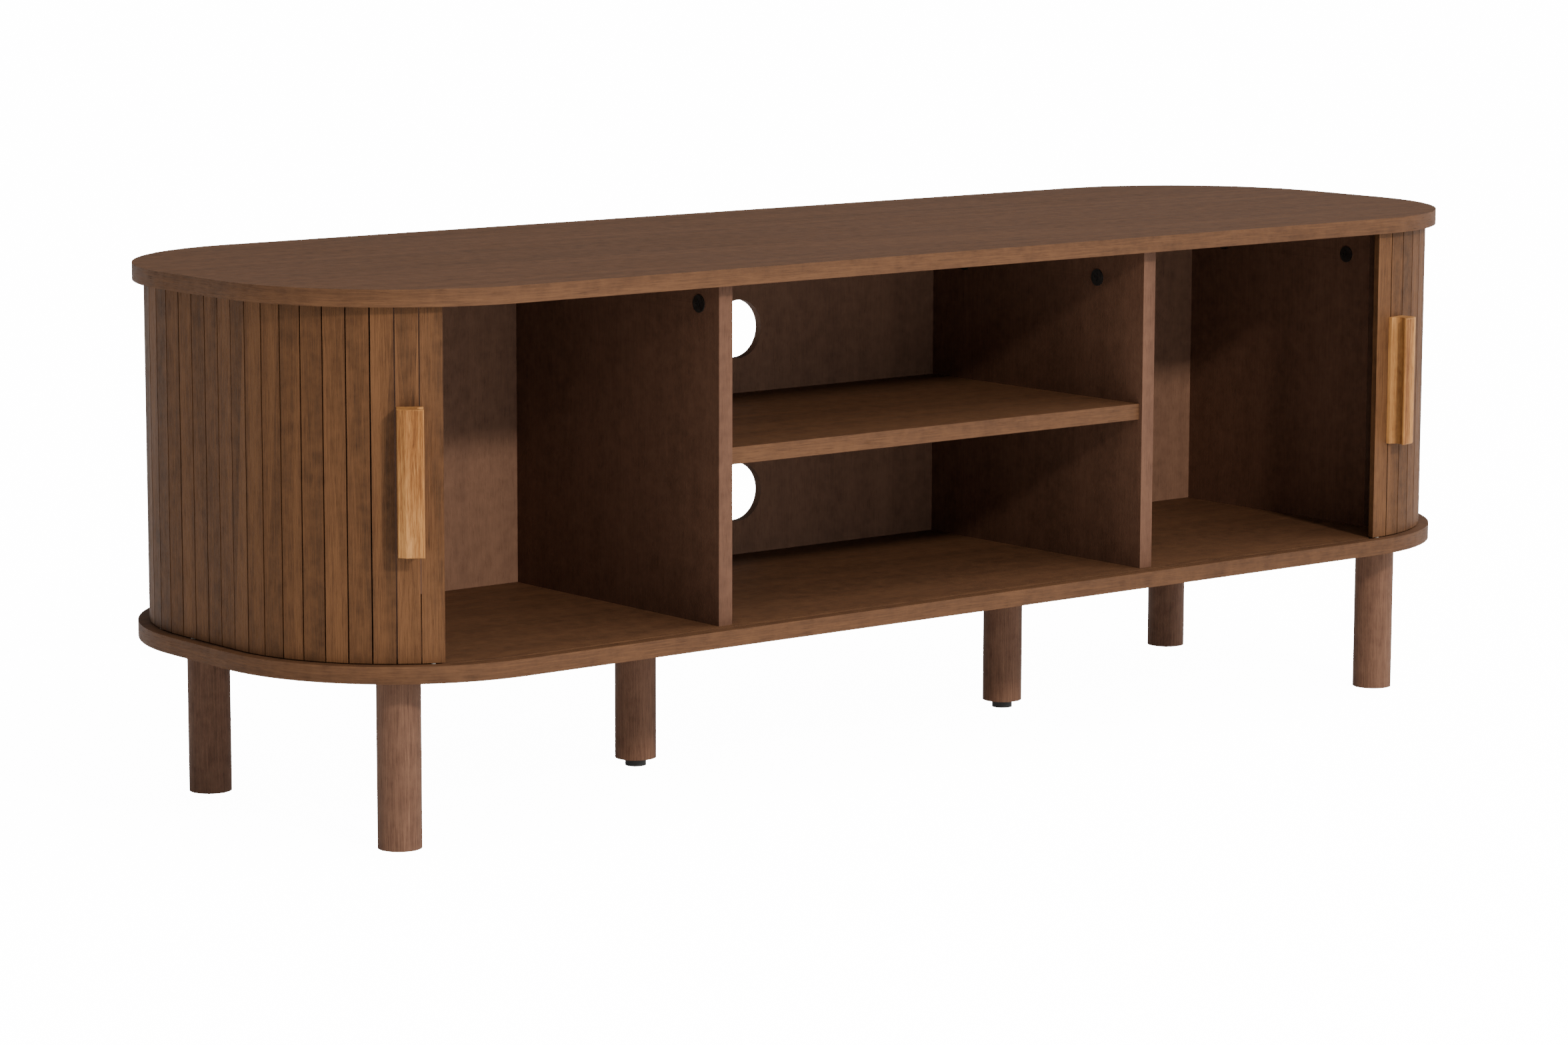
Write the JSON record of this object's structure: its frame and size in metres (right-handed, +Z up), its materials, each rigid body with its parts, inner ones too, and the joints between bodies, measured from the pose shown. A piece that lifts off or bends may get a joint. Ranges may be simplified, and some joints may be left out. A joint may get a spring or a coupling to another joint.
{
  "type": "media cabinet",
  "caption": "Low media cabinet with rounded ends, round legs, open bays, a shelf, cable holes and roller-slat doors that wrap round both ends.",
  "frame": {"origin": "on the floor under the middle of the cabinet", "axes": "+X along the cabinet's length to the right as seen from the front, +Y to the back, +Z up; the open front faces -Y"},
  "size_m": [1.5, 0.4997, 0.518],
  "materials": {
    "acacia": "oiled acacia",
    "zinc_steel": "zinc plated",
    "black_cap": "moulded, fine matt",
    "black_foot": "moulded nylon",
    "nylon": "moulded nylon",
    "beech_dowel": "fluted beech",
    "leg_wood": "walnut stain, satin",
    "slat_wood": "walnut veneer, satin",
    "back_wood": "walnut foil, matt",
    "board_laminate": "walnut laminate, satin"
  },
  "bodies": {
    "cabinet": {"top_board": "board_laminate", "bottom_board": "board_laminate", "left_inner_wall": "board_laminate", "left_divider": "board_laminate", "right_divider": "board_laminate", "right_inner_wall": "board_laminate", "middle_shelf": "board_laminate", "left_back_panel": "back_wood", "middle_back_panel": "back_wood", "right_back_panel": "back_wood", "leg_front_left": "leg_wood", "leg_front_right": "leg_wood", "leg_back_left": "leg_wood", "leg_back_right": "leg_wood", "leg_middle_left": "leg_wood", "leg_middle_right": "leg_wood", "cam_locks": "zinc_steel", "cam_covers": "black_cap", "cam_bolts": "zinc_steel", "panel_dowels": "beech_dowel", "panel_screws": "zinc_steel", "leg_bolts": "zinc_steel", "shelf_dowels": "beech_dowel", "back_panel_screws": "zinc_steel"},
    "left_pull_slat": {"left_slat_02": "slat_wood", "left_handle": "acacia", "left_handle_screws": "zinc_steel"},
    "left_lead_slat": {"left_slat_01": "slat_wood", "left_lead_guides": "nylon"},
    "left_slat_03": {"left_slat_03": "slat_wood"},
    "left_slat_04": {"left_slat_04": "slat_wood"},
    "left_slat_05": {"left_slat_05": "slat_wood"},
    "left_slat_06": {"left_slat_06": "slat_wood"},
    "left_slat_07": {"left_slat_07": "slat_wood"},
    "left_slat_08": {"left_slat_08": "slat_wood"},
    "left_slat_09": {"left_slat_09": "slat_wood"},
    "left_slat_10": {"left_slat_10": "slat_wood"},
    "left_door_tail": {"left_tail_slats": "slat_wood", "left_tail_guides": "nylon"},
    "right_pull_slat": {"right_slat_02": "slat_wood", "right_handle": "acacia", "right_handle_screws": "zinc_steel"},
    "right_lead_slat": {"right_slat_01": "slat_wood", "right_lead_guides": "nylon"},
    "right_slat_03": {"right_slat_03": "slat_wood"},
    "right_slat_04": {"right_slat_04": "slat_wood"},
    "right_slat_05": {"right_slat_05": "slat_wood"},
    "right_slat_06": {"right_slat_06": "slat_wood"},
    "right_slat_07": {"right_slat_07": "slat_wood"},
    "right_slat_08": {"right_slat_08": "slat_wood"},
    "right_slat_09": {"right_slat_09": "slat_wood"},
    "right_slat_10": {"right_slat_10": "slat_wood"},
    "right_slat_11": {"right_slat_11": "slat_wood"},
    "right_slat_12": {"right_slat_12": "slat_wood"},
    "right_slat_13": {"right_slat_13": "slat_wood"},
    "right_door_tail": {"right_tail_slats": "slat_wood", "right_tail_guides": "nylon"},
    "left_foot": {"left_levelling_foot": "black_foot"},
    "right_foot": {"right_levelling_foot": "black_foot"}
  },
  "joints": [
    {"name": "left_door_travel", "type": "hinge", "parent": "cabinet", "child": "left_pull_slat", "pos_m": [-0.41349, 0.42763, 0.34], "axis": [0, 0, 1], "range_deg": [0, 33.01]},
    {"name": "left_lead_slat_travel", "type": "hinge", "parent": "cabinet", "child": "left_lead_slat", "pos_m": [-0.40249, 0.60651, 0.34], "axis": [0, 0, 1], "range_deg": [-0.2, 26.36], "deforming": ["left_lead_guides"]},
    {"name": "left_slat_03_travel", "type": "hinge", "parent": "cabinet", "child": "left_slat_03", "pos_m": [-0.42449, 0.30997, 0.34], "axis": [0, 0, 1], "range_deg": [-0.2, 40.06]},
    {"name": "left_slat_04_travel", "type": "hinge", "parent": "cabinet", "child": "left_slat_04", "pos_m": [-0.43549, 0.22678, 0.34], "axis": [0, 0, 1], "range_deg": [-0.2, 46.91]},
    {"name": "left_slat_05_travel", "type": "hinge", "parent": "cabinet", "child": "left_slat_05", "pos_m": [-0.44649, 0.16501, 0.34], "axis": [0, 0, 1], "range_deg": [-0.2, 53.76]},
    {"name": "left_slat_06_travel", "type": "hinge", "parent": "cabinet", "child": "left_slat_06", "pos_m": [-0.45749, 0.11751, 0.34], "axis": [0, 0, 1], "range_deg": [-0.2, 60.61]},
    {"name": "left_slat_07_travel", "type": "hinge", "parent": "cabinet", "child": "left_slat_07", "pos_m": [-0.46849, 0.08006, 0.34], "axis": [0, 0, 1], "range_deg": [-0.2, 67.46]},
    {"name": "left_slat_08_travel", "type": "hinge", "parent": "cabinet", "child": "left_slat_08", "pos_m": [-0.47949, 0.05001, 0.34], "axis": [0, 0, 1], "range_deg": [-0.2, 74.31]},
    {"name": "left_slat_09_travel", "type": "hinge", "parent": "cabinet", "child": "left_slat_09", "pos_m": [-0.49049, 0.02559, 0.34], "axis": [0, 0, 1], "range_deg": [-0.2, 81.16]},
    {"name": "left_slat_10_travel", "type": "hinge", "parent": "cabinet", "child": "left_slat_10", "pos_m": [-0.50149, 0.0056, 0.34], "axis": [0, 0, 1], "range_deg": [-0.2, 88.01]},
    {"name": "left_door_tail_travel", "type": "hinge", "parent": "cabinet", "child": "left_door_tail", "pos_m": [-0.505, 0, 0.34], "axis": [0, 0, 1], "range_deg": [-0.2, 90.2], "deforming": ["left_tail_guides"]},
    {"name": "right_door_travel", "type": "hinge", "parent": "cabinet", "child": "right_pull_slat", "pos_m": [0.37799, 1.80555, 0.34], "axis": [0, 0, -1], "range_deg": [0, 10.9]},
    {"name": "right_lead_slat_travel", "type": "hinge", "parent": "cabinet", "child": "right_lead_slat", "pos_m": [0.36699, 5.27001, 0.34], "axis": [0, 0, -1], "range_deg": [-0.2, 4.25], "deforming": ["right_lead_guides"]},
    {"name": "right_slat_03_travel", "type": "hinge", "parent": "cabinet", "child": "right_slat_03", "pos_m": [0.38899, 1.01322, 0.34], "axis": [0, 0, -1], "range_deg": [-0.2, 17.95]},
    {"name": "right_slat_04_travel", "type": "hinge", "parent": "cabinet", "child": "right_slat_04", "pos_m": [0.39999, 0.66096, 0.34], "axis": [0, 0, -1], "range_deg": [-0.2, 24.8]},
    {"name": "right_slat_05_travel", "type": "hinge", "parent": "cabinet", "child": "right_slat_05", "pos_m": [0.41099, 0.46148, 0.34], "axis": [0, 0, -1], "range_deg": [-0.2, 31.65]},
    {"name": "right_slat_06_travel", "type": "hinge", "parent": "cabinet", "child": "right_slat_06", "pos_m": [0.42199, 0.33303, 0.34], "axis": [0, 0, -1], "range_deg": [-0.2, 38.5]},
    {"name": "right_slat_07_travel", "type": "hinge", "parent": "cabinet", "child": "right_slat_07", "pos_m": [0.43299, 0.24347, 0.34], "axis": [0, 0, -1], "range_deg": [-0.2, 45.35]},
    {"name": "right_slat_08_travel", "type": "hinge", "parent": "cabinet", "child": "right_slat_08", "pos_m": [0.44399, 0.1776, 0.34], "axis": [0, 0, -1], "range_deg": [-0.2, 52.2]},
    {"name": "right_slat_09_travel", "type": "hinge", "parent": "cabinet", "child": "right_slat_09", "pos_m": [0.45499, 0.1273, 0.34], "axis": [0, 0, -1], "range_deg": [-0.2, 59.05]},
    {"name": "right_slat_10_travel", "type": "hinge", "parent": "cabinet", "child": "right_slat_10", "pos_m": [0.46599, 0.08785, 0.34], "axis": [0, 0, -1], "range_deg": [-0.2, 65.9]},
    {"name": "right_slat_11_travel", "type": "hinge", "parent": "cabinet", "child": "right_slat_11", "pos_m": [0.47699, 0.05629, 0.34], "axis": [0, 0, -1], "range_deg": [-0.2, 72.75]},
    {"name": "right_slat_12_travel", "type": "hinge", "parent": "cabinet", "child": "right_slat_12", "pos_m": [0.48799, 0.03071, 0.34], "axis": [0, 0, -1], "range_deg": [-0.2, 79.6]},
    {"name": "right_slat_13_travel", "type": "hinge", "parent": "cabinet", "child": "right_slat_13", "pos_m": [0.49899, 0.0098, 0.34], "axis": [0, 0, -1], "range_deg": [-0.2, 86.46]},
    {"name": "right_door_tail_travel", "type": "hinge", "parent": "cabinet", "child": "right_door_tail", "pos_m": [0.505, 0, 0.34], "axis": [0, 0, -1], "range_deg": [-0.2, 90.2], "deforming": ["right_tail_guides"]},
    {"name": "left_foot_travel", "type": "slide", "parent": "cabinet", "child": "left_foot", "axis": [0, 0, -1], "range_m": [0, 0.006]},
    {"name": "right_foot_travel", "type": "slide", "parent": "cabinet", "child": "right_foot", "axis": [0, 0, -1], "range_m": [0, 0.006]}
  ],
  "couplings": [
    {"joint": "left_lead_slat_travel", "follows": "left_door_travel", "ratio": 0.79245},
    {"joint": "left_slat_03_travel", "follows": "left_door_travel", "ratio": 1.2075},
    {"joint": "left_slat_04_travel", "follows": "left_door_travel", "ratio": 1.4151},
    {"joint": "left_slat_05_travel", "follows": "left_door_travel", "ratio": 1.6226},
    {"joint": "left_slat_06_travel", "follows": "left_door_travel", "ratio": 1.8302},
    {"joint": "left_slat_07_travel", "follows": "left_door_travel", "ratio": 2.0377},
    {"joint": "left_slat_08_travel", "follows": "left_door_travel", "ratio": 2.2453},
    {"joint": "left_slat_09_travel", "follows": "left_door_travel", "ratio": 2.4528},
    {"joint": "left_slat_10_travel", "follows": "left_door_travel", "ratio": 2.6604},
    {"joint": "left_door_tail_travel", "follows": "left_door_travel", "ratio": 2.7267},
    {"joint": "right_lead_slat_travel", "follows": "right_door_travel", "ratio": 0.37143},
    {"joint": "right_slat_03_travel", "follows": "right_door_travel", "ratio": 1.6286},
    {"joint": "right_slat_04_travel", "follows": "right_door_travel", "ratio": 2.2571},
    {"joint": "right_slat_05_travel", "follows": "right_door_travel", "ratio": 2.8857},
    {"joint": "right_slat_06_travel", "follows": "right_door_travel", "ratio": 3.5143},
    {"joint": "right_slat_07_travel", "follows": "right_door_travel", "ratio": 4.1429},
    {"joint": "right_slat_08_travel", "follows": "right_door_travel", "ratio": 4.7714},
    {"joint": "right_slat_09_travel", "follows": "right_door_travel", "ratio": 5.4},
    {"joint": "right_slat_10_travel", "follows": "right_door_travel", "ratio": 6.0286},
    {"joint": "right_slat_11_travel", "follows": "right_door_travel", "ratio": 6.6571},
    {"joint": "right_slat_12_travel", "follows": "right_door_travel", "ratio": 7.2857},
    {"joint": "right_slat_13_travel", "follows": "right_door_travel", "ratio": 7.9143},
    {"joint": "right_door_tail_travel", "follows": "right_door_travel", "ratio": 8.2579}
  ]
}
